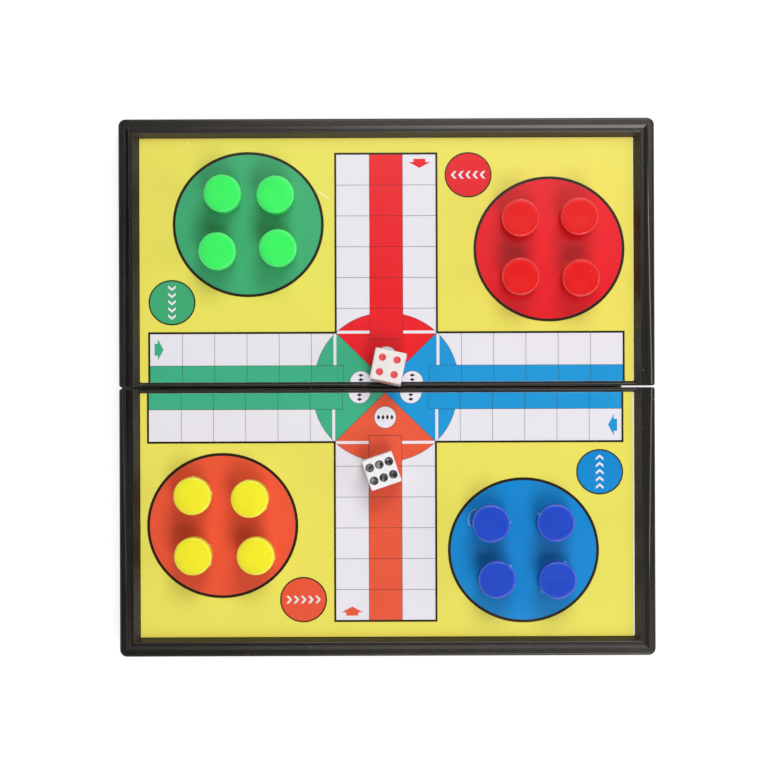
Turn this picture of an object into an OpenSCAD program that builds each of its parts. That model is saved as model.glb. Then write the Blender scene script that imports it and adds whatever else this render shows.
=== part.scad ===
// Folding magnetic ludo board for travel: two moulded half boards on a pinned hinge, each with a steel
// plate under a printed sheet, sixteen pawns with magnets in their bases, and a pair of dice.
// Sizes are in millimetres. X runs along the fold, Y across it from the front half to the rear half, Z up.
// The origin is at the middle of the fold, on the surface that the open board lies on.

/* [Half board] */
// Length of the board along the fold
board_w = 130; // [126:1:150]
// Depth of one half board, from the fold to its outer edge
half_d = 65; // [63:0.1:75]
// Height of the rim above the table
half_h = 11; // [10.5:0.1:13]
// Gap between the two half boards when they lie open
fold_gap = 0.4; // [0.3:0.1:0.6]
// Thickness of the outer walls
wall_t = 1.8; // [1.7:0.1:2]
// Thickness of the wall along the fold
fold_wall_t = 1.4; // [1.2:0.1:1.6]
// Thickness of the deck under the steel plate
deck_t = 1.2; // [1:0.1:1.5]
// Radius of the two outer corners, seen from above
corner_r = 1.75; // [1.2:0.05:2.5]
// Radius of the two corners at the fold, seen from above
fold_corner_r = 0.55; // [0.55:0.05:1.1]
// Rounding of the top edge, all the way round the outside
edge_r = 0.5; // [0.3:0.05:0.5]

/* [Rim] */
// Width of the flat land on top of the rim
land_w = 1.65; // [1.5:0.05:2]
// Run of the slanted step inside the land
step_w = 0.9; // [0.6:0.05:1]
// Drop of the slanted step
step_drop = 0.25; // [0.15:0.05:0.4]
// Width of the ledge below the step
ledge_w = 0.85; // [0.6:0.05:1]
// Run of the slope from the ledge down to the sheet, along the outer side
slope_w = 1.05; // [0.9:0.05:1.4]
// Run of that slope along the two short sides
side_slope_w = 1.45; // [1.2:0.05:1.7]
// Depth of the printed sheet below the land
sheet_depth = 2; // [1.6:0.1:2.4]
// Width of the low rim along the fold
fold_rim_w = 1; // [0.9:0.1:1.4]
// Width of the flat top of that rim
fold_land_w = 0.55; // [0.4:0.05:0.7]
// Height of that rim above the printed sheet
fold_rim_h = 0.6; // [0.4:0.1:0.8]

/* [Sheet and plate] */
// Thickness of the printed sheet
sheet_t = 0.2; // [0.15:0.05:0.3]
// Thickness of the steel plate
plate_t = 0.4; // [0.3:0.05:0.6]
// Gap round the sheet in its recess
sheet_gap = 0.1; // [0.05:0.05:0.2]
// Gap round the plate in its recess
plate_gap = 0.4; // [0.2:0.1:0.6]

/* [Hinge] */
// Height of the hinge axis above the table
axis_h = 1.6; // [1.55:0.05:1.8]
// Outer radius of a knuckle
knuckle_r = 1.45; // [1.35:0.05:1.5]
// Length of the middle knuckle of a hinge
knuckle_l = 18.6; // [12:0.2:18.8]
// Gap between two knuckles along the pin
knuckle_gap = 0.2; // [0.2:0.1:0.4]
// Radius of a hinge pin
pin_r = 0.75; // [0.6:0.05:0.8]
// Clearance round the pin
pin_gap = 0.05; // [0.03:0.01:0.08]
// Clearance of a knuckle in the notch of the other half
notch_gap = 0.25; // [0.2:0.05:0.35]

/* [Closing edge] */
// Clearance between the lip of one half and the tongue of the other
lip_gap = 0.3; // [0.28:0.02:0.36]
// Length of the side walls that is cut clear beside the fold
lip_relief = 3; // [2.5:0.5:5]
// Width of the thumb notch in the lip
thumb_w = 16; // [12:1:20]
// Height of the thumb notch
thumb_h = 2.2; // [1.6:0.1:2.6]
// Distance of the thumb notch from the middle of the board
thumb_x = 32; // [20:1:45]

/* [Pawns] */
// Diameter of a pawn
pawn_d = 9.1; // [8.5:0.1:10]
// Height of a pawn
pawn_h = 8.5; // [7:0.1:10]
// Rounding of the top edge of a pawn
pawn_edge_r = 0.55; // [0.3:0.05:0.8]
// Chamfer round the foot of a pawn
pawn_chamfer = 0.2; // [0.1:0.05:0.4]
// Depth of the shallow dish in the top of a pawn
dish_depth = 0.06; // [0.04:0.01:0.12]
// Diameter of a magnet
magnet_d = 6; // [5:0.5:7]
// Thickness of a magnet
magnet_t = 2; // [1.5:0.1:3]
// Clearance round a magnet in its pocket
magnet_gap = 0.05; // [0.03:0.01:0.08]

/* [Dice] */
// Side of a die
die_side = 7.7; // [7:0.1:8.5]
// Rounding of the edges of a die
die_edge_r = 0.4; // [0.3:0.05:0.7]
// Diameter of a pip
pip_d = 1.95; // [1.5:0.05:2]
// Diameter of the single pip on the one face
ace_d = 4.4; // [3:0.1:4.6]
// Depth of a pip
pip_depth = 0.35; // [0.2:0.05:0.5]
// Distance of the corner pips from the middle of a face
pip_step = 1.8; // [1.7:0.05:2]
// Distance of the outer pips of a row of three from the middle of the six face
row_step = 2.35; // [2.1:0.05:2.4]
// Distance of those two rows from the middle of the face
row_gap = 1.65; // [1.2:0.05:1.8]

/* [Hidden] */
$fn = 64;
eps = 0.01;
over = 1;

half_w = board_w / 2;
fold_y = -fold_gap / 2;
outer_y = fold_y - half_d;
sheet_z = half_h - sheet_depth;
deck_z = sheet_z - sheet_t - plate_t;
tray_z = deck_z - deck_t;
ledge_z = half_h - step_drop;
fold_rim_z = sheet_z + fold_rim_h;

// Distances from the outer face at which the rim changes slope
step_in = land_w + step_w;
ledge_in = step_in + ledge_w;
rim_in = ledge_in + slope_w;
side_rim_in = ledge_in + side_slope_w;

// The lips of the two halves pass each other over twice the height of the hinge axis
seat_gap = 0.2;
lip_h = 2 * axis_h + seat_gap;
lip_t = (wall_t - lip_gap) / 2;
lip_split = 0.15;
fold_foot_z = axis_h + seat_gap / 2;
lip_end_gap = 0.3;
rim_skin = 1.2;

side_knuckle_l = knuckle_l - knuckle_gap;
knuckle_pitch = (knuckle_l + side_knuckle_l) / 2 + knuckle_gap;
pin_l = knuckle_l + 2 * (knuckle_gap + side_knuckle_l);
hinge_x = pin_l / 2 + knuckle_gap;

// Places of the pawns on the open board: the middle of each home circle, and each pawn from there
green_home = [-33.5, 39.7];
red_home = [39.6, 33.5];
yellow_home = [-39.9, -33.5];
blue_home = [33.1, -39.4];
green_set = [[-6, 7.1], [6.7, 6.8], [-7.3, -6.8], [7.3, -6.1]];
red_set = [[-7.3, 7.2], [6.9, 7.5], [-7.3, -6.9], [7.2, -7.3]];
yellow_set = [[-7.1, 7.4], [6.7, 6.7], [-7, -7.1], [8.1, -7.1]];
blue_set = [[-8.1, 6.4], [7.5, 6.5], [-6.7, -7.1], [7.9, -7.3]];

// The front die lies flat on the sheet, and the rear one leans on the low rim along the fold
front_die_at = [-1.4, -20.2];
front_die_turn = 18.9;
rear_die_at = [0.3, 4.6];
rear_die_turn = -11.7;
lean_gap = 0.03;
lean_y = fold_gap / 2 + fold_land_w;
rear_die_reach = die_side / 2 * (cos(rear_die_turn) - sin(rear_die_turn));
rear_die_lean = atan(fold_rim_h / (rear_die_at[1] + rear_die_reach - lean_y));
rear_die_z = fold_rim_z + lean_gap - (rear_die_at[1] - lean_y) * tan(rear_die_lean);

// A box given by its two opposite corners
module block(low, high) {
  translate(low) cube(high - low);
}

// Lays an XY outline along X: outline x becomes Y, outline y becomes Z
module run_x(from, to) {
  translate([from, 0, 0]) rotate([90, 0, 90]) linear_extrude(to - from) children();
}

// Lays an XY outline along Y: outline x stays X, outline y becomes Z
module run_y(from, to) {
  translate([0, to, 0]) rotate([90, 0, 0]) linear_extrude(to - from) children();
}

// A rectangle from the axis out to x = w, its top outer corner rounded
module round_top(w, h, r) {
  square([w - r, h]);
  square([w, h - r]);
  translate([w - r, h - r]) intersection() {
    circle(r);
    square(r);
  }
}

// A quarter post of radius r with a rounded top edge, filling the quarter turn that starts at angle a
module corner_post(at, r, a) {
  translate(at) rotate([0, 0, a]) rotate_extrude(angle = 90) round_top(r, half_h, edge_r);
}

// Solid block of a front half: rounded corners, and a rounded top edge on its three outer sides
module outer_block() {
  inset = half_w - corner_r;
  // Middle, between the outer corners
  run_x(-inset, inset) translate([fold_y, 0]) mirror([1, 0]) round_top(half_d, half_h, edge_r);
  for (side = [-1, 1]) {
    // Side strip, from the outer corner to the corner at the fold
    run_y(outer_y + corner_r, fold_y - fold_corner_r) scale_x(side)
      translate([inset, 0]) round_top(corner_r, half_h, edge_r);
    // Strip between the middle and the corner at the fold
    mirrored_block([inset, fold_y - fold_corner_r, 0], [half_w - fold_corner_r, fold_y, half_h], side);
    corner_post([side * inset, outer_y + corner_r, 0], corner_r, side > 0 ? 270 : 180);
    corner_post([side * (half_w - fold_corner_r), fold_y - fold_corner_r, 0],
                fold_corner_r, side > 0 ? 0 : 90);
  }
}

// Mirrors an outline left to right when the side is negative
module scale_x(side) {
  if (side > 0) children();
  else mirror([1, 0]) children();
}

// A block on the right side, or its mirror image on the left side
module mirrored_block(low, high, side) {
  if (side > 0) block(low, high);
  else block([-high[0], low[1], low[2]], [-low[0], high[1], high[2]]);
}

// Space inside the rim, from the deck up: where a stepped channel across the board meets one along it
module recess() {
  side = [
    [half_w - side_rim_in, deck_z], [half_w - side_rim_in, sheet_z], [half_w - ledge_in, ledge_z],
    [half_w - step_in, ledge_z], [half_w - land_w, half_h], [half_w - land_w, half_h + over]
  ];
  other_side = [for (i = [len(side) - 1:-1:0]) [-side[i][0], side[i][1]]];
  outer = [
    [outer_y + land_w, half_h + over], [outer_y + land_w, half_h], [outer_y + step_in, ledge_z],
    [outer_y + ledge_in, ledge_z], [outer_y + rim_in, sheet_z], [outer_y + rim_in, deck_z]
  ];
  fold = [
    [fold_y - fold_rim_w, deck_z], [fold_y - fold_rim_w, sheet_z], [fold_y - fold_land_w, fold_rim_z],
    [fold_y + over, fold_rim_z], [fold_y + over, half_h + over]
  ];
  intersection() {
    run_y(outer_y - over, fold_y + 2 * over) polygon(concat(side, other_side));
    run_x(-half_w - over, half_w + over) polygon(concat(outer, fold));
  }
}

// Storage tray under the deck, with the thick rim cored out from below
module tray() {
  block([-half_w + wall_t, outer_y + wall_t, -over], [half_w - wall_t, fold_y - fold_wall_t, tray_z]);
  difference() {
    block([-half_w + wall_t, outer_y + wall_t, tray_z - eps],
          [half_w - wall_t, fold_y - fold_wall_t, ledge_z - rim_skin]);
    block([-half_w + ledge_in, outer_y + ledge_in, 0], [half_w - ledge_in, fold_y, half_h]);
  }
}

// What is cut from the closing edge: the outside of the wall on the left leaves a tongue, the inside on the
// right leaves a lip, and beside the fold the wall is cut clear
module closing_edge() {
  tongue_in = lip_t + lip_gap;
  end_y = fold_y - lip_relief + lip_end_gap;
  difference() {
    block([-half_w - over, outer_y - over, -over], [lip_split, end_y, lip_h]);
    block([-half_w + tongue_in, outer_y + tongue_in, -2 * over], [half_w, fold_y, lip_h + over]);
  }
  block([-lip_split, outer_y + lip_t, -over], [half_w - lip_t, end_y, lip_h]);
  block([-half_w - over, fold_y - lip_relief, -over], [half_w + over, fold_y + over, fold_foot_z]);
  thumb_r = (thumb_w * thumb_w / 4 + thumb_h * thumb_h) / (2 * thumb_h);
  translate([thumb_x, outer_y + lip_t + lip_gap / 2, thumb_h - thumb_r])
    rotate([90, 0, 0]) cylinder(h = wall_t, r = thumb_r);
}

// Knuckles that belong to one half: the middle of each along X, and its length
function own_knuckles() = [
  [hinge_x, knuckle_l],
  [-hinge_x - knuckle_pitch, side_knuckle_l],
  [-hinge_x + knuckle_pitch, side_knuckle_l]
];

// The knuckles of the other half, which is this half turned half a turn
function other_knuckles() = [for (k = own_knuckles()) [-k[0], k[1]]];

// A cylinder along the hinge axis
module on_axis(x, length, r) {
  translate([x - length / 2, 0, axis_h]) rotate([0, 90, 0]) cylinder(h = length, r = r);
}

// A knuckle with the web that joins it to the wall along the fold
module knuckle(x, length) {
  on_axis(x, length, knuckle_r);
  block([x - length / 2, fold_y - fold_wall_t, axis_h], [x + length / 2, 0, axis_h + knuckle_r]);
}

// One half board in the place of the front half
module half_shell() {
  difference() {
    union() {
      difference() {
        outer_block();
        recess();
        tray();
        closing_edge();
        for (k = other_knuckles()) on_axis(k[0], k[1] + 2 * knuckle_gap, knuckle_r + notch_gap);
      }
      for (k = own_knuckles()) knuckle(k[0], k[1]);
    }
    for (side = [-1, 1]) on_axis(side * hinge_x, pin_l + 2 * over, pin_r + pin_gap);
  }
}

// Outline of what lies in the recess of the front half, with a gap all round
module recess_slab(gap, low, thick) {
  block([-half_w + side_rim_in + gap, outer_y + rim_in + gap, low],
        [half_w - side_rim_in - gap, fold_y - fold_rim_w - gap, low + thick]);
}

// Turns a front half into the rear half
module to_rear() {
  rotate([0, 0, 180]) children();
}

// Moulded shell of the front half
module front_shell() {
  color([0.14, 0.14, 0.14]) half_shell();
}

// Moulded shell of the rear half
module rear_shell() {
  color([0.14, 0.14, 0.14]) to_rear() half_shell();
}

// Steel plate of the front half
module front_plate() {
  color([0.62, 0.63, 0.65]) recess_slab(plate_gap, deck_z, plate_t);
}

// Steel plate of the rear half
module rear_plate() {
  color([0.62, 0.63, 0.65]) to_rear() recess_slab(plate_gap, deck_z, plate_t);
}

// Printed sheet of the front half
module front_sheet() {
  color([0.91, 0.87, 0.38]) recess_slab(sheet_gap, deck_z + plate_t, sheet_t);
}

// Printed sheet of the rear half
module rear_sheet() {
  color([0.91, 0.87, 0.38]) to_rear() recess_slab(sheet_gap, deck_z + plate_t, sheet_t);
}

// Steel pin of one hinge
module hinge_pin(side) {
  color([0.7, 0.7, 0.72]) on_axis(side * hinge_x, pin_l, pin_r);
}

// Puts a piece on the printed sheet at a pawn's place
module at_pawn(home, set, number) {
  place = home + set[number - 1];
  translate([place[0], place[1], sheet_z]) children();
}

// One pawn: a round button with a softened top edge, a shallow dish on top and a magnet pocket in its foot
module pawn(home, set, number, tint) {
  r = pawn_d / 2;
  dish_r = r - 2 * pawn_edge_r;
  dish_ball = (dish_r * dish_r + dish_depth * dish_depth) / (2 * dish_depth);
  at_pawn(home, set, number) color(tint) difference() {
    rotate_extrude() difference() {
      round_top(r, pawn_h, pawn_edge_r);
      polygon([[r - pawn_chamfer, 0], [r, pawn_chamfer], [r + over, 0], [r, -over]]);
    }
    translate([0, 0, pawn_h - dish_depth + dish_ball]) sphere(dish_ball);
    translate([0, 0, -over]) cylinder(h = over + magnet_t + magnet_gap, d = magnet_d + 2 * magnet_gap);
  }
}

// Disc magnet in the foot of a pawn
module magnet(home, set, number) {
  at_pawn(home, set, number) color([0.55, 0.55, 0.57])
    translate([0, 0, magnet_gap]) cylinder(h = magnet_t, d = magnet_d);
}

// A square prism along Z with rounded edges, as high and as wide as a die
module round_prism() {
  flat = die_side - 2 * die_edge_r;
  linear_extrude(die_side, center = true) union() {
    square([die_side, flat], center = true);
    square([flat, die_side], center = true);
    for (x = [-1, 1], y = [-1, 1]) translate([x, y] * flat / 2) circle(die_edge_r);
  }
}

// A dimple in the top face of a die, by its place and its width on the face
module dimple(at, width) {
  ball = (width * width / 4 + pip_depth * pip_depth) / (2 * pip_depth);
  translate([at[0], at[1], die_side / 2 - pip_depth + ball]) sphere(ball);
}

// Places of the pips on a face that shows the number n
function pips(n) =
  let (p = pip_step)
  n == 1 ? [[0, 0]]
  : n == 2 ? [[-p, p], [p, -p]]
  : n == 3 ? [[-p, p], [0, 0], [p, -p]]
  : n == 4 ? [[-p, -p], [-p, p], [p, -p], [p, p]]
  : n == 5 ? [[-p, -p], [-p, p], [p, -p], [p, p], [0, 0]]
  : [for (x = [-row_step, 0, row_step], y = [-row_gap, row_gap]) [x, y]];

// A die about its own middle, by the numbers on three of its faces: opposite faces make seven
module die(top, front, right) {
  turns = [[0, 0, 0], [180, 0, 0], [90, 0, 0], [-90, 0, 0], [0, 90, 0], [0, -90, 0]];
  numbers = [top, 7 - top, front, 7 - front, right, 7 - right];
  difference() {
    intersection() {
      round_prism();
      rotate([90, 0, 0]) round_prism();
      rotate([0, 90, 0]) round_prism();
    }
    for (i = [0:5])
      rotate(turns[i])
        for (at = pips(numbers[i])) dimple(at, numbers[i] == 1 ? ace_d : pip_d);
  }
}

// Die that lies flat on the front half
module front_die() {
  color([0.95, 0.94, 0.92])
    translate([front_die_at[0], front_die_at[1], sheet_z + die_side / 2])
      rotate([0, 0, front_die_turn]) die(6, 4, 5);
}

// Die on the rear half that leans on the low rim along the fold
module rear_die() {
  color([0.95, 0.94, 0.92])
    translate([rear_die_at[0], rear_die_at[1], rear_die_z])
      rotate([-rear_die_lean, 0, 0]) translate([0, 0, die_side / 2])
        rotate([0, 0, rear_die_turn]) die(4, 1, 5);
}

green = [0.24, 0.93, 0.4];
red = [0.96, 0.17, 0.17];
yellow = [0.97, 0.92, 0.16];
blue = [0.18, 0.29, 0.78];

front_shell();
rear_shell();
front_plate();
rear_plate();
front_sheet();
rear_sheet();
hinge_pin(-1);  // left_hinge_pin
hinge_pin(1);  // right_hinge_pin
for (n = [1:4]) {
  pawn(green_home, green_set, n, green);
  pawn(red_home, red_set, n, red);
  pawn(yellow_home, yellow_set, n, yellow);
  pawn(blue_home, blue_set, n, blue);
  magnet(green_home, green_set, n);
  magnet(red_home, red_set, n);
  magnet(yellow_home, yellow_set, n);
  magnet(blue_home, blue_set, n);
}
front_die();
rear_die();
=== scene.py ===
"""Looks of a folding magnetic ludo board for travel.

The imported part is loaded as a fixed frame. The pieces made here sit where its nodes are: half boards with
broken edges, printed sheets with their films of ink, turned pawns with moulding flash, and dice with
painted pips. Sizes in the classes are millimetres, and those of the lamps, the floor and the camera metres.
A half board has a frame of its own, that of the rear half: X along the fold, Y away from the fold, Z up. The
front half is the same drawing turned half a turn about Z.
"""

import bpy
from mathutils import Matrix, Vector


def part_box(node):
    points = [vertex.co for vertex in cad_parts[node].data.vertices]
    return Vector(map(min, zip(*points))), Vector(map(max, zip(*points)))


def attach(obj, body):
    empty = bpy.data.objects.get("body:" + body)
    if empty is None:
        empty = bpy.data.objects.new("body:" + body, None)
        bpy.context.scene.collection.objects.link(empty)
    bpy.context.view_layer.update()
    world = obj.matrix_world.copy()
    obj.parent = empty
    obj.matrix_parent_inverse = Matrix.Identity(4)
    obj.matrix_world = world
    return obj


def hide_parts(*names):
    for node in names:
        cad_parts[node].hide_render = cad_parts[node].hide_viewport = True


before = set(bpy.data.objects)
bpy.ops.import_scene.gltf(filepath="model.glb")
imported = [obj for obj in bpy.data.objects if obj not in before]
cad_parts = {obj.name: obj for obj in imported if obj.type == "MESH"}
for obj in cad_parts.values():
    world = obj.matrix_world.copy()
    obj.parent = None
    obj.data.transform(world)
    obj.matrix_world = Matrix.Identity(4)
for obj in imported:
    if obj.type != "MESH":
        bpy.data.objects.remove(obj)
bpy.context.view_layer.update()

import logging
import math
from dataclasses import dataclass
from enum import Enum
from typing import Any, Iterable, Sequence, Union

import bmesh
import bpy
import numpy as np

LOG = logging.getLogger("ludo_board")
MM = 0.001
WELD = 1e-7
TINY = 1e-9

Rgb = tuple[float, float, float, float]
Point = tuple[float, float]
Triple = tuple[float, float, float]
Value = Union[float, "Wire"]
BLACK: Rgb = (0.0, 0.0, 0.0, 1.0)
WHITE: Rgb = (1.0, 1.0, 1.0, 1.0)


def srgb(red: int, green: int, blue: int) -> Rgb:
    """Colour as a screen shows it, made linear.

    Args:
        red: Red, 0 to 255.
        green: Green, 0 to 255.
        blue: Blue, 0 to 255.

    Returns:
        Linear colour with full alpha.
    """
    screen = np.array((red, green, blue)) / 255.0
    linear = np.where(screen <= 0.04045, screen / 12.92, ((screen + 0.055) / 1.055) ** 2.4)
    return (*linear.tolist(), 1.0)


def shade(colour: Rgb, gain: float) -> Rgb:
    """Colour made lighter or darker by a gain, alpha kept."""
    return (*(min(1.0, part * gain) for part in colour[:3]), colour[3])


class Half(Enum):
    """The two half boards, by the name of their body's nodes."""

    FRONT = "front"
    REAR = "rear"

    @property
    def turn(self) -> float:
        """Sign that takes the half's own X and Y to the board's: minus one is half a turn."""
        return 1.0 if self is Half.REAR else -1.0


class Tint(Enum):
    """The four players' colours, by the name of their pawns."""

    GREEN = "green"
    RED = "red"
    YELLOW = "yellow"
    BLUE = "blue"


class Wire:
    """An output socket, on which arithmetic adds Math nodes to the tree."""

    def __init__(self, graph: "Graph", socket: bpy.types.NodeSocket) -> None:
        """Keep the tree and the socket."""
        self.graph = graph
        self.socket = socket

    def math(self, operation: str, *values: Value) -> "Wire":
        """Add a Math node with these values on its inputs."""
        return self.graph.node("ShaderNodeMath", {"operation": operation}, dict(enumerate(values)))

    def __add__(self, other: Value) -> "Wire":
        """This value plus another."""
        return self.math("ADD", self, other)

    def __radd__(self, other: float) -> "Wire":
        """A number plus this value."""
        return self.math("ADD", other, self)

    def __sub__(self, other: Value) -> "Wire":
        """This value less another."""
        return self.math("SUBTRACT", self, other)

    def __rsub__(self, other: float) -> "Wire":
        """A number less this value."""
        return self.math("SUBTRACT", other, self)

    def __mul__(self, other: Value) -> "Wire":
        """This value times another."""
        return self.math("MULTIPLY", self, other)

    def __rmul__(self, other: float) -> "Wire":
        """A number times this value."""
        return self.math("MULTIPLY", other, self)

    def __gt__(self, other: Value) -> "Wire":
        """One where this value is above another, else zero."""
        return self.math("GREATER_THAN", self, other)

    def __lt__(self, other: Value) -> "Wire":
        """One where this value is below another, else zero."""
        return self.math("LESS_THAN", self, other)

    def __abs__(self) -> "Wire":
        """This value without its sign."""
        return self.math("ABSOLUTE", self)

    def most(self, other: Value) -> "Wire":
        """The greater of this value and another."""
        return self.math("MAXIMUM", self, other)

    def exp(self) -> "Wire":
        """The power of e to this value."""
        return self.math("POWER", math.e, self)

    def swing(self, amount: float) -> "Wire":
        """This noise made to swing about zero, by an amount."""
        return (self - 0.5) * amount

    def ease(self, low: float, high: float) -> "Wire":
        """Smooth step of this value from zero at low to one at high."""
        return self.graph.node("ShaderNodeMapRange", {"interpolation_type": "SMOOTHSTEP"},
                               {"Value": self, "From Min": low, "From Max": high})


class Graph:
    """Node tree of one material or world, built up by expressions."""

    def __init__(self, name: str, library: Any = bpy.data.materials) -> None:
        """Make an empty material or world.

        Args:
            name: Its name.
            library: Where it is kept: Blender's materials or worlds.
        """
        self.owner = library.new(name)
        self.owner.use_nodes = True
        self.tree = self.owner.node_tree
        self.tree.nodes.clear()
        self._place: Wire | None = None

    def node(self, kind: str, settings: dict[str, Any] | None = None,
             inputs: dict[Any, Any] | None = None, output: Any = 0) -> Wire:
        """Add a node.

        Args:
            kind: Blender's name of the node type.
            settings: Properties of the node, set before its sockets.
            inputs: Values or wires by the socket's name or number.
            output: Name or number of the output wanted.

        Returns:
            That output.
        """
        made = self.tree.nodes.new(kind)
        for name, value in (settings or {}).items():
            setattr(made, name, value)
        for key, value in (inputs or {}).items():
            if isinstance(value, Wire):
                self.tree.links.new(value.socket, made.inputs[key])
            else:
                made.inputs[key].default_value = value
        return Wire(self, made.outputs[output])

    @property
    def place(self) -> Wire:
        """Object coordinates in millimetres.

        Returns:
            The coordinates, from nodes that are made once.
        """
        if self._place is None:
            metres = self.node("ShaderNodeTexCoord", output="Object")
            self._place = self.node("ShaderNodeVectorMath", {"operation": "SCALE"},
                                    {0: metres, "Scale": 1.0 / MM})
        return self._place

    def stretched(self, scale: Triple) -> Wire:
        """Object coordinates in millimetres, scaled along each axis."""
        return self.node("ShaderNodeVectorMath", {"operation": "MULTIPLY"}, {0: self.place, 1: scale})

    def axis(self, name: str, vector: Wire) -> Wire:
        """One coordinate of a vector, by the name of its axis."""
        return self.node("ShaderNodeSeparateXYZ", None, {0: vector}, name)

    def attribute(self, name: str) -> Wire:
        """Value of an attribute that the mesh carries."""
        return self.node("ShaderNodeAttribute", {"attribute_name": name}, output="Fac")

    def ray(self, kind: str) -> Wire:
        """One for rays of a kind, such as camera rays, else zero."""
        return self.node("ShaderNodeLightPath", output=f"Is {kind} Ray")

    def noise(self, size: float, detail: float = 2.0, place: Wire | None = None) -> Wire:
        """Cloudy noise from 0 to 1 about a half.

        Args:
            size: Size of its largest patches in millimetres.
            detail: Number of finer octaves.
            place: Coordinates to read, object coordinates if none.

        Returns:
            The noise.
        """
        return self.node("ShaderNodeTexNoise", None,
                         {"Vector": place or self.place, "Scale": 1.0 / size, "Detail": detail})

    def specks(self, pitch: float, radius: float, share: float) -> Wire:
        """Round specks at random places.

        Args:
            pitch: Mean distance of the places in millimetres.
            radius: Largest radius of a speck as a share of the pitch.
            share: Share of the places that hold a speck.

        Returns:
            One inside a speck, else zero.
        """
        reads = {"Vector": self.place, "Scale": 1.0 / pitch}
        near = self.node("ShaderNodeTexVoronoi", None, reads, "Distance")
        cell = self.node("ShaderNodeTexVoronoi", None, reads, "Color")
        draw = self.node("ShaderNodeSeparateColor", None, {0: cell}, "Red")
        return (near < draw * radius) * (draw > 1.0 - share)

    def mix(self, factor: Value, low: Any, high: Any) -> Wire:
        """Colour between two colours by a factor."""
        return self.node("ShaderNodeMix", {"data_type": "RGBA"}, {0: factor, 6: low, 7: high}, 2)

    def tones(self, factor: Wire, colour: Rgb, gains: Point) -> Wire:
        """Colour that goes from one gain of itself to another by a factor."""
        return self.mix(factor, shade(colour, gains[0]), shade(colour, gains[1]))

    def blend(self, factor: Value, low: Wire, high: Wire) -> Wire:
        """Shader between two shaders by a factor."""
        return self.node("ShaderNodeMixShader", None, {0: factor, 1: low, 2: high})

    def bump(self, height: Wire, depth: float) -> Wire:
        """Normal of a relief whose height of one is depth millimetres."""
        return self.node("ShaderNodeBump", None, {"Height": height, "Distance": depth * MM})

    def surface(self, inputs: dict[str, Any]) -> bpy.types.Material:
        """Close the tree with a Principled shader.

        Args:
            inputs: Values or wires of the shader's sockets.

        Returns:
            The finished material.
        """
        return self.output(self.node("ShaderNodeBsdfPrincipled", None, inputs))

    def output(self, shader: Wire) -> Any:
        """Close the tree with any shader.

        Args:
            shader: The shader.

        Returns:
            The finished material or world.
        """
        is_world = isinstance(self.owner, bpy.types.World)
        end = self.tree.nodes.new("ShaderNodeOutputWorld" if is_world else "ShaderNodeOutputMaterial")
        self.tree.links.new(shader.socket, end.inputs["Surface"])
        return self.owner


@dataclass(frozen=True)
class MouldedPlastic:
    """Black satin plastic of the half boards: fine moulded grain, cloudy sheen and a little dust.

    The slopes down to the sheets are rubbed, and lighter with painted highlight and reflection of the sheets,
    the rear rim's the most, by an attribute that the half board's mesh carries.
    """

    name: str = "half_board_plastic"
    colour: Rgb = srgb(9, 8, 6)
    wear_and_sheen: Rgb = srgb(66, 59, 50)
    sheen: Rgb = (1.0, 0.93, 0.86, 1.0)
    dust: Rgb = srgb(150, 146, 138)
    tones: Point = (0.8, 1.25)
    roughness: float = 0.225
    grain: float = 0.22
    grain_swing: float = 0.08
    cloud: float = 14.0
    cloud_swing: float = 0.1
    specks: Triple = (2.6, 0.05, 0.3)
    speck_cover: float = 0.8
    speck_rough: float = 0.3
    wear_and_sheen_least: float = 0.35
    wear_and_sheen_rough: float = 0.15
    relief: float = 0.007

    SLOPE_WEAR_AND_SHEEN = "slope"

    def material(self) -> bpy.types.Material:
        """Build the material.

        Returns:
            The material.
        """
        graph = Graph(self.name)
        slope = graph.attribute(self.SLOPE_WEAR_AND_SHEEN)
        grain = graph.noise(self.grain, detail=3.0)
        cloud = graph.noise(self.cloud, detail=4.0)
        specks = graph.specks(*self.specks)
        base = graph.tones(cloud, self.colour, self.tones)
        # On the slopes: wear, and painted highlight and reflection of the sheets.
        base = graph.mix(slope * (self.wear_and_sheen_least + grain), base, self.wear_and_sheen)
        base = graph.mix(specks * self.speck_cover, base, self.dust)
        rough = self.roughness + cloud.swing(self.cloud_swing) + grain.swing(self.grain_swing)
        rough = rough + specks * self.speck_rough + slope * self.wear_and_sheen_rough
        return graph.surface({"Base Color": base, "Roughness": rough, "Specular Tint": self.sheen,
                              "Normal": graph.bump(grain, self.relief)})


@dataclass(frozen=True)
class SheetStock:
    """White card under the print, with a soft fibre in it."""

    name: str = "sheet_card"
    colour: Rgb = srgb(238, 236, 238)
    tones: Point = (0.9, 1.0)
    roughness: float = 0.55
    fibre: float = 0.35
    fibre_scale: Triple = (1.0, 0.35, 1.0)
    fibre_swing: float = 0.2
    relief: float = 0.01

    def material(self) -> bpy.types.Material:
        """Build the material.

        Returns:
            The material.
        """
        graph = Graph(self.name)
        fibre = graph.noise(self.fibre, 4.0, graph.stretched(self.fibre_scale))
        base = graph.tones(fibre, self.colour, self.tones)
        return graph.surface({"Base Color": base, "Roughness": self.roughness + fibre.swing(self.fibre_swing),
                              "Normal": graph.bump(fibre, self.relief)})


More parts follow.
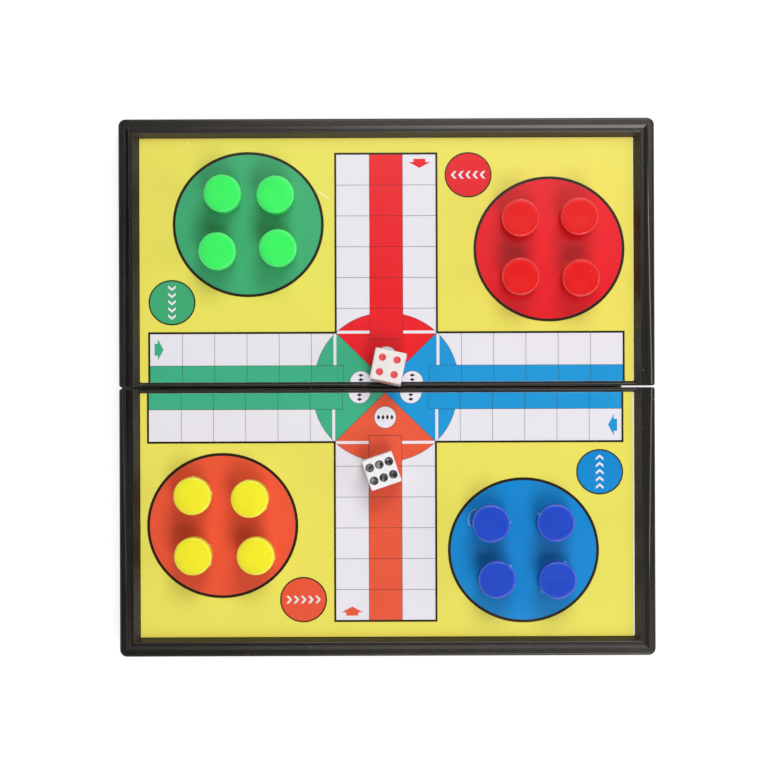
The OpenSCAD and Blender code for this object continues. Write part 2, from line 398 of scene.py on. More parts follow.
@dataclass(frozen=True)
class PrintedInk:
    """Offset ink under a satin laminate: fine screen mottle, faint clouds and a rippled skin.

    Painted shade lies along the front and rear rims, as in their shadow: it thins out as exp(-d / L) with the
    way d from them, L being its length.
    """

    name: str
    colour: Rgb
    mottle: float = 0.05
    mottle_gain: float = 1.6
    roughness: float = 0.21
    specular: float = 0.28
    screen: float = 0.28
    screen_share: float = 0.6
    cloud: float = 9.0
    ripple: float = 1.6
    swing: float = 0.08
    relief: float = 0.003
    rim_shade: float = 0.3
    rim_shade_length: float = 1.25
    rim_shade_colour: Rgb = srgb(168, 136, 0)
    rim_y: float = 60.6

    def material(self) -> bpy.types.Material:
        """Build the material.

        Returns:
            The material.
        """
        graph = Graph(self.name)
        screen = graph.noise(self.screen)
        cloud = graph.noise(self.cloud, detail=3.0)
        ripple = graph.noise(self.ripple)
        tone = screen * self.screen_share + cloud * (1.0 - self.screen_share)
        spread = self.mottle_gain * self.mottle
        base = graph.tones(tone, self.colour, (1.0 - spread, 1.0 + spread))
        # Painted shade: the colour darkens towards the front and rear rims.
        way = self.rim_y - abs(graph.axis("Y", graph.place))
        painted_rim_shade = (way * (-1.0 / self.rim_shade_length)).exp() * self.rim_shade
        base = graph.mix(painted_rim_shade, base, self.rim_shade_colour)
        rough = self.roughness + ripple.swing(self.swing) + cloud.swing(self.swing)
        return graph.surface({"Base Color": base, "Roughness": rough, "Specular IOR Level": self.specular,
                              "Normal": graph.bump(ripple, self.relief)})


@dataclass(frozen=True)
class PawnPlastic:
    """Soft moulded plastic of a pawn: light goes a little way in, with flow marks and a fine skin.

    The round edge carries a painted highlight, mixed towards white, by an attribute that the pawn's mesh
    carries.
    """

    name: str
    colour: Rgb
    tones: Point = (0.88, 1.1)
    roughness: float = 0.21
    specular: float = 0.25
    depth: float = 4.0
    painted_highlight: float = 0.06
    flow: float = 2.6
    flow_share: float = 0.3
    skin: float = 0.3
    skin_height: float = 0.6
    swing: float = 0.1
    nicks: Triple = (1.7, 0.05, 0.16)
    nick_colour: Rgb = srgb(235, 235, 235)
    nick_cover: float = 0.4
    relief: float = 0.008

    EDGE_HIGHLIGHT = "edge"

    def material(self) -> bpy.types.Material:
        """Build the material.

        Returns:
            The material.
        """
        graph = Graph(self.name)
        flow = graph.noise(self.flow, detail=3.0)
        skin = graph.noise(self.skin)
        tone = flow * self.flow_share + skin * (1.0 - self.flow_share)
        base = graph.tones(tone, self.colour, self.tones)
        base = graph.mix(graph.specks(*self.nicks) * self.nick_cover, base, self.nick_colour)
        # Painted highlight: the round edge is mixed towards white.
        base = graph.mix(graph.attribute(self.EDGE_HIGHLIGHT) * self.painted_highlight, base, WHITE)
        rough = self.roughness + flow.swing(self.swing) + skin.swing(self.swing)
        height = skin * self.skin_height + flow * (1.0 - self.skin_height)
        return graph.surface({"Base Color": base, "Roughness": rough, "Specular IOR Level": self.specular,
                              "Subsurface Weight": 1.0, "Subsurface Radius": (1.0, 1.0, 1.0),
                              "Subsurface Scale": self.depth * MM, "Normal": graph.bump(height, self.relief)})


@dataclass(frozen=True)
class FlashSkin:
    """Thin see-through flash left round a pawn: how much it hides, and how much that varies."""

    name: str
    colour: Rgb
    veil: float
    spread: float
    tones: Point = (1.0, 1.6)
    roughness: float = 0.2
    crinkle: float = 0.5
    relief: float = 0.05

    def material(self) -> bpy.types.Material:
        """Build the material.

        Returns:
            The material.
        """
        graph = Graph(self.name)
        crinkle = graph.noise(self.crinkle, detail=3.0)
        base = graph.tones(crinkle, self.colour, self.tones)
        return graph.surface({"Base Color": base, "Roughness": self.roughness,
                              "Alpha": self.veil + crinkle * self.spread,
                              "Normal": graph.bump(crinkle, self.relief)})


@dataclass(frozen=True)
class DieResin:
    """White resin of a die with gloss paint in its pips, by the attributes that the die's mesh carries.

    Inside a pip the paint turns paler as a noise goes from the first to the second value of its range: partly
    worn paint, partly painted highlight that stands for reflections in the bowl. This eases in between two
    shares of the pip's radius, up to the third value of its setting.
    """

    name: str
    colour: Rgb
    red: Rgb = srgb(226, 62, 70)
    worn_red_and_sheen: Rgb = srgb(226, 138, 138)
    black: Rgb = srgb(34, 32, 31)
    worn_black_and_sheen: Rgb = srgb(158, 152, 146)
    tones: Point = (0.93, 1.05)
    roughness: float = 0.32
    cloud: float = 2.2
    cloud_swing: float = 0.14
    skin: float = 0.25
    ragged: float = 0.12
    paint_edge: Point = (0.02, 0.14)
    paint_skin: float = 0.55
    paint_swing: float = 0.4
    wear_and_sheen_noise: float = 1.15
    wear_and_sheen_range: Point = (0.44, 0.66)
    black_wear_and_sheen_span: Triple = (0.15, 0.5, 0.8)
    red_wear_and_sheen_span: Triple = (0.2, 0.6, 0.75)
    milk: float = 0.5
    milk_radius: Triple = (1.0, 0.9, 0.8)
    milk_depth: float = 0.6
    relief: float = 0.006

    def material(self) -> bpy.types.Material:
        """Build the material.

        Returns:
            The material.
        """
        graph = Graph(self.name)
        cloud = graph.noise(self.cloud, detail=3.0)
        skin = graph.noise(self.skin)
        inside = graph.attribute(Die.PIP)
        painted = (inside + skin.swing(self.ragged)).ease(*self.paint_edge)
        wear_and_sheen_noise = graph.noise(self.wear_and_sheen_noise).ease(*self.wear_and_sheen_range)
        # Paler paint in the pips: wear, and painted highlight for the reflections in the bowls.
        coats = []
        for fresh, wear_and_sheen, (low, high, most) in ((self.black, self.worn_black_and_sheen, self.black_wear_and_sheen_span),
                                                 (self.red, self.worn_red_and_sheen, self.red_wear_and_sheen_span)):
            coats.append(graph.mix(wear_and_sheen_noise * inside.ease(low, high) * most, fresh, wear_and_sheen))
        paint = graph.mix(graph.attribute(Die.RED) > 0.5, *coats)
        base = graph.mix(painted, graph.tones(cloud, self.colour, self.tones), paint)
        rough = self.roughness + cloud.swing(self.cloud_swing)
        rough = rough + painted * (skin - self.paint_skin) * self.paint_swing
        return graph.surface({"Base Color": base, "Roughness": rough, "Subsurface Weight": self.milk,
                              "Subsurface Radius": self.milk_radius, "Subsurface Scale": self.milk_depth * MM,
                              "Normal": graph.bump(skin, self.relief)})


@dataclass(frozen=True)
class RolledSteel:
    """Bare steel with drawn or rolled streaks along X, and dull patches."""

    name: str
    colour: Rgb
    roughness: float
    streak: float = 0.25
    streak_scale: Triple = (0.03, 1.0, 1.0)
    streak_swing: float = 0.15
    patch: float = 6.0
    patch_swing: float = 0.25
    tones: Point = (0.75, 1.15)
    relief: float = 0.006

    def material(self) -> bpy.types.Material:
        """Build the material.

        Returns:
            The material.
        """
        graph = Graph(self.name)
        streaks = graph.noise(self.streak, 3.0, graph.stretched(self.streak_scale))
        patches = graph.noise(self.patch, detail=4.0)
        base = graph.tones(streaks * 0.5 + patches * 0.5, self.colour, self.tones)
        rough = self.roughness + patches.swing(self.patch_swing) + streaks.swing(self.streak_swing)
        return graph.surface({"Base Color": base, "Metallic": 1.0, "Roughness": rough,
                              "Normal": graph.bump(streaks, self.relief)})


Finish = Union[MouldedPlastic, SheetStock, PrintedInk, PawnPlastic, FlashSkin, DieResin, RolledSteel]
_finishes: dict[str, bpy.types.Material] = {}


def finish(kind: Finish) -> bpy.types.Material:
    """Material of a finish, built once for each name.

    Args:
        kind: The finish.

    Returns:
        Its material.
    """
    if kind.name not in _finishes:
        _finishes[kind.name] = kind.material()
    return _finishes[kind.name]


def put(name: str, data: bpy.types.ID) -> bpy.types.Object:
    """Put an object into the scene.

    Args:
        name: Its name.
        data: Its mesh, light or camera.

    Returns:
        The object, at the origin.
    """
    made = bpy.data.objects.new(name, data)
    bpy.context.scene.collection.objects.link(made)
    return made


@dataclass
class Patches:
    """Surfaces gathered into one mesh: points in millimetres, and quads.

    A quad with corners at one place closes a pole, and becomes a triangle.
    """

    points: list[np.ndarray]
    quads: list[np.ndarray]
    count: int = 0

    @classmethod
    def empty(cls) -> "Patches":
        """A gathering with nothing in it yet."""
        return cls([], [])

    def add_grid(self, grid: np.ndarray, ring: bool = False) -> None:
        """Add a surface given on a grid of two parameters.

        The quad at row i and column j joins the points (i, j), (i, j + 1), (i + 1, j + 1) and (i + 1, j).

        Args:
            grid: Points of shape rows, columns, 3.
            ring: Whether the last column joins the first.
        """
        rows, columns = grid.shape[:2]
        index = np.arange(rows * columns).reshape(rows, columns)
        if ring:
            index = np.concatenate((index, index[:, :1]), axis=1)
        quads = np.stack((index[:-1, :-1], index[:-1, 1:], index[1:, 1:], index[1:, :-1]), axis=-1)
        self.points.append(grid.reshape(-1, 3))
        self.quads.append(quads.reshape(-1, 4) + self.count)
        self.count += rows * columns

    def weld(self) -> tuple[np.ndarray, np.ndarray]:
        """Find the points that lie at one place.

        Returns:
            Number of the first point at each place, and the number of every point's place.
        """
        keys = np.round(np.concatenate(self.points) * MM / WELD).astype(np.int64)
        _, first, same = np.unique(keys, axis=0, return_index=True, return_inverse=True)
        return first, same.reshape(-1)

    def piece(self, name: str, material: bpy.types.Material, smooth_deg: float = 0.0) -> bpy.types.Object:
        """Weld the surfaces and put them into an object at the origin.

        Args:
            name: Name of the piece.
            material: Its finish.
            smooth_deg: Edges bent less than this are shaded smooth, none at zero.

        Returns:
            The object.
        """
        points = np.concatenate(self.points) * MM
        first, same = self.weld()
        quads = same[np.concatenate(self.quads)]
        kept = quads != np.roll(quads, 1, axis=1)
        good = kept.sum(axis=1) >= 3
        sizes = kept.sum(axis=1)[good]
        corners = quads[good][kept[good]]
        mesh = bpy.data.meshes.new(name)
        mesh.vertices.add(len(first))
        mesh.vertices.foreach_set("co", points[first].astype(np.float32).ravel())
        mesh.loops.add(len(corners))
        mesh.loops.foreach_set("vertex_index", corners.astype(np.int32))
        mesh.polygons.add(len(sizes))
        mesh.polygons.foreach_set("loop_start", (np.cumsum(sizes) - sizes).astype(np.int32))
        mesh.polygons.foreach_set("loop_total", sizes.astype(np.int32))
        mesh.update(calc_edges=True)
        mesh.validate()
        if smooth_deg:
            mesh.shade_smooth()
            mesh.set_sharp_from_angle(angle=math.radians(smooth_deg))
        else:
            mesh.shade_flat()
        mesh.materials.append(material)
        return put(name, mesh)

    def mark(self, made: bpy.types.Object, name: str, values: np.ndarray) -> None:
        """Put a value for each point into the piece's mesh as an attribute.

        Args:
            made: The piece made from these surfaces.
            name: Name of the attribute.
            values: One value for each point that was added, before the weld.
        """
        first, _ = self.weld()
        layer = made.data.attributes.new(name, "FLOAT", "POINT")
        layer.data.foreach_set("value", values[first].astype(np.float32))


def dress(piece: bpy.types.Object, body: str, slot: str, *nodes: str) -> None:
    """Let a piece ride on a body, stand for CAD nodes and be logged.

    Args:
        piece: The finished object.
        body: Body that it moves with.
        slot: The record's material slot; not used.
        nodes: CAD nodes that it stands for.
    """
    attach(piece, body)
    if nodes:
        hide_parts(*nodes)
    LOG.info("%s: %d faces on %s", piece.name, len(piece.data.polygons), body)


@dataclass(frozen=True)
class Film:
    """A flat film of ink between two edges of equal length, at one level of the print."""

    near: np.ndarray
    far: np.ndarray
    level: float
    ring: bool = False

    def prism(self, low: float, step: float, turn: float, slip: float) -> np.ndarray:
        """Closed prism of the film: a four-cornered profile carried along its edges.

        The corners are near-high, far-high, far-low and near-low, so that the top faces up when the near edge
        is on the left. The edges change places where that isn't so, which the sign of the area tells.

        Args:
            low: Height of the foot of every film.
            step: Height of one level.
            turn: Sign that takes the half's own frame to the board's.
            slip: Shift of the print along the fold.

        Returns:
            Points of shape stations, 4, 3.
        """
        near, far = self.near, self.far
        along = np.diff(near, axis=0) + np.diff(far, axis=0)
        across = (far - near)[:-1] + (far - near)[1:]
        if (across[:, 0] * along[:, 1] - across[:, 1] * along[:, 0]).sum() < 0:
            near, far = far, near
        flat = np.stack((near, far, far, near), axis=1) + (slip, 0.0)
        high = low + step * self.level
        height = np.broadcast_to(np.array((high, high, low, low)), flat.shape[:2])
        return np.concatenate((flat * turn, height[..., None]), axis=-1)

    def add_to(self, patches: Patches, low: float, step: float, turn: float, slip: float) -> None:
        """Add the film's prism to a mesh, its ends closed where it isn't a ring.

        Args:
            patches: The mesh.
            low: Height of the foot of every film.
            step: Height of one level.
            turn: Sign that takes the half's own frame to the board's.
            slip: Shift of the print along the fold.
        """
        points = self.prism(low, step, turn, slip)
        if self.ring:
            points = np.concatenate((points, points[:1]))
        else:
            start = points[:1, [0, 0, 3, 3]]
            end = points[-1:, [0, 0, 3, 3]]
            points = np.concatenate((start, points, end))
        patches.add_grid(points, ring=True)


def band(path: Sequence[Point] | np.ndarray, width: float, level: float, ring: bool = False) -> Film:
    """Line of ink along a path, mitred at its bends.

    At a bend between unit normals m and n the edge moves by (m + n) / (1 + m . n) times half the width.

    Args:
        path: Points of its middle.
        width: Width of the line.
        level: Level of the print.
        ring: Whether the path closes on itself.

    Returns:
        The film.
    """
    middle = np.asarray(path, dtype=float)
    step = np.diff(middle, axis=0, append=middle[:1])
    normal = np.stack((-step[:, 1], step[:, 0]), axis=1) / np.linalg.norm(step, axis=1, keepdims=True)
    before = np.roll(normal, 1, axis=0)
    if not ring:
        normal[-1] = normal[-2]
        before[0] = normal[0]
    mitre = (before + normal) / (1.0 + (before * normal).sum(axis=1, keepdims=True))
    return Film(middle + mitre * width / 2, middle - mitre * width / 2, level, ring)


def block(low: Point, high: Point, level: float) -> Film:
    """Rectangle of ink between two corners."""
    return Film(np.array((low, (low[0], high[1]))), np.array(((high[0], low[1]), high)), level)


def ellipse(middle: Point, radii: Point, start: float, end: float, count: int) -> np.ndarray:
    """Points on an ellipse from one angle to another, in radians."""
    angle = np.linspace(start, end, count)
    return np.stack((middle[0] + radii[0] * np.cos(angle), middle[1] + radii[1] * np.sin(angle)), axis=1)


def disc(middle: Point, radii: Point, level: float, edge: float = -math.inf, count: int = 65) -> Film:
    """Disc of ink, ruled from its left side to its right side and cut off below an edge.

    Args:
        middle: Its middle.
        radii: Its radii along X and Y.
        level: Level of the print.
        edge: Lowest Y that it may reach.
        count: Stations from bottom to top.

    Returns:
        The film.
    """
    start = math.asin(max(-1.0, (edge - middle[1]) / radii[1]))
    right = ellipse(middle, radii, start, math.pi / 2, count)
    left = right * (-1.0, 1.0) + (2 * middle[0], 0.0)
    return Film(left, right, level)


@dataclass(frozen=True)
class Inks:
    """Finishes of one sheet's inks, by their part in the drawing."""

    main: PrintedInk
    main_disc: PrintedInk
    left: PrintedInk
    left_disc: PrintedInk
    right: PrintedInk
    field: PrintedInk = PrintedInk("ink_yellow", srgb(232, 222, 93), 0.03)
    white: PrintedInk = PrintedInk("ink_white", srgb(229, 226, 233), 0.015)
    hairline: PrintedInk = PrintedInk("ink_hairline", srgb(52, 42, 50))
    outline: PrintedInk = PrintedInk("ink_outline", srgb(36, 28, 13))
    scuffed: PrintedInk = PrintedInk("scuffed_print", srgb(246, 238, 196))


GREEN_INK = PrintedInk("ink_green", srgb(61, 172, 131))
RED_INK = PrintedInk("ink_red", srgb(230, 28, 37))
ORANGE_INK = PrintedInk("ink_orange", srgb(229, 88, 59))
BLUE_INK = PrintedInk("ink_blue", srgb(24, 148, 211))
GREEN_DISC_INK = PrintedInk("ink_green_disc", srgb(62, 166, 114))
RED_DISC_INK = PrintedInk("ink_red_disc", srgb(225, 21, 33))
ORANGE_DISC_INK = PrintedInk("ink_orange_disc", srgb(229, 84, 54))
BLUE_DISC_INK = PrintedInk("ink_blue_disc", srgb(8, 134, 204))
REAR_INKS = Inks(RED_INK, RED_DISC_INK, GREEN_INK, GREEN_DISC_INK, BLUE_INK)
FRONT_INKS = Inks(ORANGE_INK, ORANGE_DISC_INK, BLUE_INK, BLUE_DISC_INK, GREEN_INK)


@dataclass
class Artwork:
    """The traditional ludo drawing on one sheet, in the half board's own frame.

    The drawing of the whole board is cut along its centre line, and each sheet carries one half of it: an arm
    straight away from the fold, half an arm to each side along the fold, two home circles and two start
    discs. The capitals are the levels of its films, and the numbers of points on its curves.
    """

    edge: float
    centre: float = 1.3
    arm_half: float = 12.3
    arm_end: float = 56.8
    side_end: float = 57.68
    row_top: float = 13.3
    strip_half: float = 4.03
    box_end: float = 10.4
    cell_x: float = 7.84
    cell_y: float = 7.495
    cells: int = 5
    ring_rx: float = 17.5
    ring_ry: float = 16.85
    bar: float = 0.7
    border: float = 0.48
    hair: float = 0.085
    home_rx: float = 18.03
    home_ry: float = 17.3
    home_line: float = 0.66
    left_home: Point = (-33.5, 39.66)
    right_home: Point = (39.6, 33.49)
    start_rx: float = 5.55
    start_ry: float = 5.35
    start_line: float = 0.3
    left_start: Point = (-52.1, 20.73)
    main_start: Point = (20.0, 51.58)
    goal_r: float = 2.65
    goal_x: float = 6.24
    goal_y: float = 6.0
    chevron: Point = (0.75, 0.92)
    chevron_stroke: float = 0.62
    chevron_pitch: float = 1.75
    gem: Point = (0.4, 0.66)
    gem_pitch: float = 1.08
    arrow: tuple[float, float, float, float] = (0.78, 1.42, 1.45, 2.65)
    arrow_inset: float = 1.3

    FIELD, WHITE, COLOUR, STRIP, MARK, HAIR, RING, BOX, LINE = 1.0, 2.0, 3.0, 3.5, 4.0, 5.0, 5.25, 5.5, 6.0
    SEGMENT_COUNT, ARC_COUNT, GOAL_COUNT, START_COUNT, HOME_COUNT = 17, 33, 65, 97, 129

    @property
    def row_line(self) -> float:
        """Y of the line between the coloured row and the white row of a side arm."""
        return self.centre + self.strip_half

    @property
    def bar_y(self) -> tuple[float, float]:
        """Y of the two edges of a white bar across the main arm."""
        return self.row_top - self.border / 2, self.row_top - self.border / 2 + self.bar

    @property
    def bar_x(self) -> tuple[float, float]:
        """Distance from the middle of the two edges of a white bar across a side arm."""
        return self.arm_half - self.border / 4, self.arm_half - self.border / 4 + self.bar

    def whites(self) -> list[Film]:
        """White ground of the arms.

        Returns:
            The films.
        """
        return [
            block((-self.side_end, self.edge), (self.side_end, self.row_top), self.WHITE),
            block((-self.arm_half, self.row_top), (self.arm_half, self.arm_end), self.WHITE),
        ]

    def ring_y(self, x: np.ndarray) -> np.ndarray:
        """Y of the centre ring at a distance from the middle."""
        return self.centre + self.ring_ry * np.sqrt(np.maximum(0.0, 1.0 - (x / self.ring_rx) ** 2))

    def ring_x(self, y: np.ndarray) -> np.ndarray:
        """Distance from the middle of the centre ring at a height Y."""
        return self.ring_rx * np.sqrt(np.maximum(0.0, 1.0 - ((y - self.centre) / self.ring_ry) ** 2))

    def diagonal_x(self, y: np.ndarray) -> np.ndarray:
        """Distance from the middle at a height Y of a diagonal, from the centre to a corner of the cross."""
        return self.arm_half * (y - self.centre) / (self.row_top - self.centre)

    def diagonal_y(self, x: float) -> float:
        """Height Y of a diagonal at a distance from the middle."""
        return self.centre + (self.row_top - self.centre) * x / self.arm_half

    def main_colour(self) -> list[Film]:
        """Strip up the main arm, its quarter of the centre, and the ring's segments beyond the bars.

        Returns:
            The films.
        """
        rows = np.array((self.edge, self.bar_y[0]))
        wide = self.diagonal_x(rows)
        strip = self.strip_half
        films = [
            block((-strip, self.centre + self.box_end), (strip, self.arm_end), self.STRIP),
            Film(np.stack((-wide, rows), axis=1), np.stack((wide, rows), axis=1), self.COLOUR),
        ]
        reach = self.ring_x(np.array(self.bar_y[1]))
        x = np.linspace(strip, float(reach), self.SEGMENT_COUNT)
        for side in (-1.0, 1.0):
            foot = np.stack((side * x, np.full_like(x, self.bar_y[1])), axis=1)
            films.append(Film(foot, np.stack((side * x, self.ring_y(x)), axis=1), self.COLOUR))
        tail = ((self.arm_half + strip) / 2, self.arm_end - self.arrow_inset)
        return films + self.arrow_films(tail, (0.0, -1.0))

    def side_colour(self, side: float) -> list[Film]:
        """Strip along a side arm, its quarter of the centre, and the ring's segment beyond the bar.

        Args:
            side: Minus one for the left arm, one for the right arm.

        Returns:
            The films.
        """
        rows = np.array((self.edge, self.diagonal_y(self.bar_x[0])))
        inner = np.stack((side * self.diagonal_x(rows), rows), axis=1)
        outer = np.stack((np.full(2, side * self.bar_x[0]), rows), axis=1)
        y = np.linspace(self.row_line, self.row_top, self.SEGMENT_COUNT)
        x = np.maximum(self.ring_x(y), self.bar_x[1])
        foot = np.stack((np.full_like(y, side * self.bar_x[1]), y), axis=1)
        ends = sorted((side * self.side_end, side * self.box_end))
        films = [
            block((ends[0], self.edge), (ends[1], self.row_line), self.STRIP),
            Film(inner, outer, self.COLOUR),
            Film(foot, np.stack((side * x, y), axis=1), self.COLOUR),
        ]
        if side < 0:
            tail = (self.arrow_inset - self.side_end, (self.row_line + self.row_top) / 2)
            films += self.arrow_films(tail, (1.0, 0.0))
        return films

    def discs(self, home: Point, start: Point) -> list[Film]:
        """Home circle and start disc of one player.

        Args:
            home: Middle of the home circle.
            start: Middle of the start disc.

        Returns:
            The films.
        """
        return [
            disc(home, (self.home_rx, self.home_ry), self.COLOUR),
            disc(start, (self.start_rx, self.start_ry), self.COLOUR),
        ]

    def arrow_films(self, tail: Point, heading: Point) -> list[Film]:
        """Short fat arrow: a stub and a wide head.

        Args:
            tail: Middle of the end of the stub.
            heading: Unit vector that it points along.

        Returns:
            The films.
        """
        stub, head, thin, wide = self.arrow
        along = np.array(heading)
        across = np.array((-along[1], along[0]))
        root = np.array(tail) + along * stub
        tip = root + along * head
        return [
            band((tail, root + along * head / 4), 2 * thin, self.STRIP),
            Film(np.array((root + across * wide, tip)), np.array((root - across * wide, tip)), self.COLOUR),
        ]

    def marks(self) -> list[Film]:
        """White bars across the arms, white goal discs, and chevrons on the start discs.

        Returns:
            The films.
        """
        films = []
        for side in (-1.0, 1.0):
            x = sorted((side * self.strip_half, side * self.arm_half))
            films.append(block((x[0], self.bar_y[0]), (x[1], self.bar_y[1]), self.MARK))
            x = sorted((side * self.bar_x[0], side * self.bar_x[1]))
            films.append(block((x[0], self.row_line), (x[1], self.row_top - self.border / 2), self.MARK))
        for middle in self.goals():
            films.append(disc(middle, (self.goal_r, self.goal_r), self.MARK, self.edge))
        films += self.chevrons(self.left_start, (0.0, -1.0))
        films += self.chevrons(self.main_start, (-1.0, 0.0))
        return films

    def goals(self) -> list[Point]:
        """Middles of the goal discs: one in the main quarter, two on the centre line."""
        return [(0.0, self.centre + self.goal_y), (-self.goal_x, self.centre), (self.goal_x, self.centre)]

    def chevrons(self, middle: Point, heading: Point) -> list[Film]:
        """Row of five chevrons.

        Args:
            middle: Middle of the row.
            heading: Unit vector that they point along.

        Returns:
            The films.
        """
        along = np.array(heading)
        across = np.array((-along[1], along[0]))
        deep, tall = self.chevron
        films = []
        for place in np.arange(-2, 3) * self.chevron_pitch - (deep + self.chevron_stroke) / 2:
            root = np.array(middle) + along * place
            back = np.array((root + across * tall, root + along * deep, root - across * tall))
            films.append(Film(back, back + along * self.chevron_stroke, self.MARK))
        return films

    def gems(self) -> list[Film]:
        """Rows of four small diamonds on the goal discs, along X in the main quarter, else along Y.

        Returns:
            The films, without the diamonds that the fold cuts off.
        """
        wide, tall = self.gem
        films = []
        for number, (x, y) in enumerate(self.goals()):
            for place in (np.arange(4) - 1.5) * self.gem_pitch:
                u, v = (x + place, y) if number == 0 else (x, y + place)
                out, up = (wide, tall) if number == 0 else (tall, wide)
                if v - up > self.edge:
                    left = np.array(((u, v - up), (u - out, v), (u, v + up)))
                    right = left * (-1.0, 1.0) + (2 * u, 0.0)
                    films.append(Film(left, right, self.HAIR))
        return films

    def hairlines(self) -> list[Film]:
        """Diamonds, cell lines, strip boxes, ring, diagonals and goal outlines.

        Returns:
            The films.
        """
        films = self.gems()
        steps = np.arange(1, self.cells + 1)
        for y in self.centre + self.box_end + steps * self.cell_y:
            films.append(band(((-self.arm_half, y), (self.arm_half, y)), self.hair, self.HAIR))
        box_y, strip = self.centre + self.box_end, self.strip_half
        box = ((-strip, self.arm_end), (-strip, box_y), (strip, box_y), (strip, self.arm_end))
        films.append(band(box, self.hair, self.BOX))
        ring_start = math.asin((self.row_line - self.centre) / self.ring_ry)
        ring_end = math.acos(strip / self.ring_rx)
        arc = ellipse((0.0, self.centre), (self.ring_rx, self.ring_ry), ring_start, ring_end, self.ARC_COUNT)
        for side in (-1.0, 1.0):
            for x in side * (self.box_end + steps * self.cell_x):
                films.append(band(((x, self.edge), (x, self.row_top)), self.hair, self.HAIR))
            box_x, end_x = side * self.box_end, side * self.side_end
            box = ((box_x, self.edge), (box_x, self.row_line), (end_x, self.row_line))
            films.append(band(box, self.hair, self.BOX))
            films.append(band(arc * (side, 1.0), self.hair, self.RING))
            ends = np.array((self.edge, self.row_top))
            films.append(band(np.stack((side * self.diagonal_x(ends), ends), axis=1), self.hair, self.RING))
        for x, y in self.goals():
            rise = max(self.edge - y, -self.goal_r)
            start = math.asin(rise / self.goal_r)
            whole = start <= -math.pi / 2
            arc = ellipse((x, y), (self.goal_r, self.goal_r), start, math.pi - start, self.GOAL_COUNT)
            films.append(band(arc[:-1] if whole else arc, self.hair, self.HAIR, whole))
        return films

    def outlines(self) -> list[Film]:
        """Dark border round the arms, and the rings of the home circles and start discs.

        Returns:
            The films.
        """
        border = (
            (-self.side_end, self.edge), (-self.side_end, self.row_top), (-self.arm_half, self.row_top),
            (-self.arm_half, self.arm_end), (self.arm_half, self.arm_end), (self.arm_half, self.row_top),
            (self.side_end, self.row_top), (self.side_end, self.edge),
        )
        films = [band(border, self.border, self.LINE)]
        home = (self.home_rx, self.home_ry), self.HOME_COUNT, self.home_line
        start = (self.start_rx, self.start_ry), self.START_COUNT, self.start_line
        for middle, (radii, count, width) in ((self.left_home, home), (self.right_home, home),
                                              (self.left_start, start), (self.main_start, start)):
            ring = ellipse(middle, radii, 0.0, 2 * math.pi, count)[:-1]
            films.append(band(ring, width, self.LINE, True))
        return films


@dataclass(frozen=True)
class Scuff:
    """A scratch that has taken the yellow off: its ends in the half board's own frame, and its width."""

    start: Point
    end: Point
    width: float


REAR_SCUFFS = (
    Scuff((-16.55, 47.75), (-13.75, 45.8), 0.24), Scuff((-48.0, 60.15), (-48.3, 58.95), 0.12),
    Scuff((-43.0, 60.4), (-42.8, 59.8), 0.1), Scuff((-38.7, 57.6), (-38.67, 56.95), 0.12),
)


